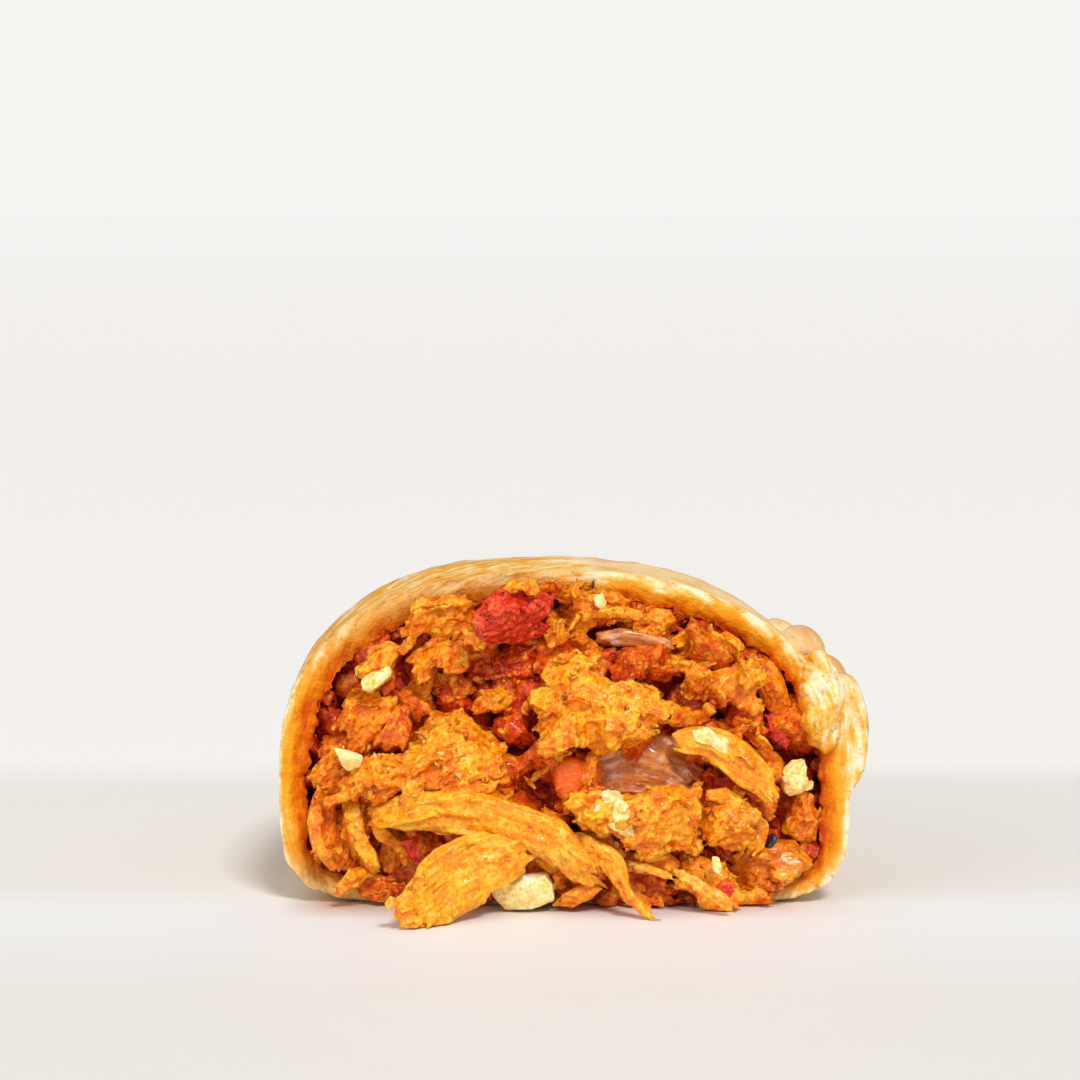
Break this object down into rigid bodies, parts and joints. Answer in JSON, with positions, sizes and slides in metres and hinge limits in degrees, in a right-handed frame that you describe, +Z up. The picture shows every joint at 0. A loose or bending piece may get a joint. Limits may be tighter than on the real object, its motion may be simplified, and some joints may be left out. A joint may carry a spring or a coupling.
{
  "type": "baked chicken empanada half",
  "caption": "Half of a baked chicken empanada, cut across to show a thin dough wall with a roped seam round a saucy filling of shredded chicken, egg, tomato and onion.",
  "frame": {"origin": "centre of the bounding box's underside, on the surface that the half stands on", "axes": "+Z up; the cut face looks along -Y and the half runs back along +Y to its pinched corner; the roped seam is on the +X side and the fold on the -X side"},
  "size_m": [0.0623, 0.0831, 0.0359],
  "materials": {
    "dough": "pale baked dough, dry outside, oil-stained on the inner side of the cut",
    "filling": "saucy orange-brown mix, moist",
    "chicken": "shredded chicken in orange sauce, moist",
    "tomato": "cooked tomato, wet",
    "onion": "soft fried onion, wet",
    "egg": "boiled egg, sauce-stained"
  },
  "bodies": {
    "root": {"crust": "dough", "filling": "filling", "chicken_centre": "chicken", "chicken_flap": "chicken", "chicken_left": "chicken", "chicken_long_strip": "chicken", "chicken_low": "chicken", "chicken_low_right": "chicken", "chicken_mid_left": "chicken", "chicken_right_strip": "chicken", "chicken_strand": "chicken", "chicken_upper_left": "chicken", "chicken_upper_right": "chicken", "tomato_chunk": "tomato", "onion_slice": "onion", "egg_front": "egg", "egg_right": "egg"}
  },
  "joints": []
}
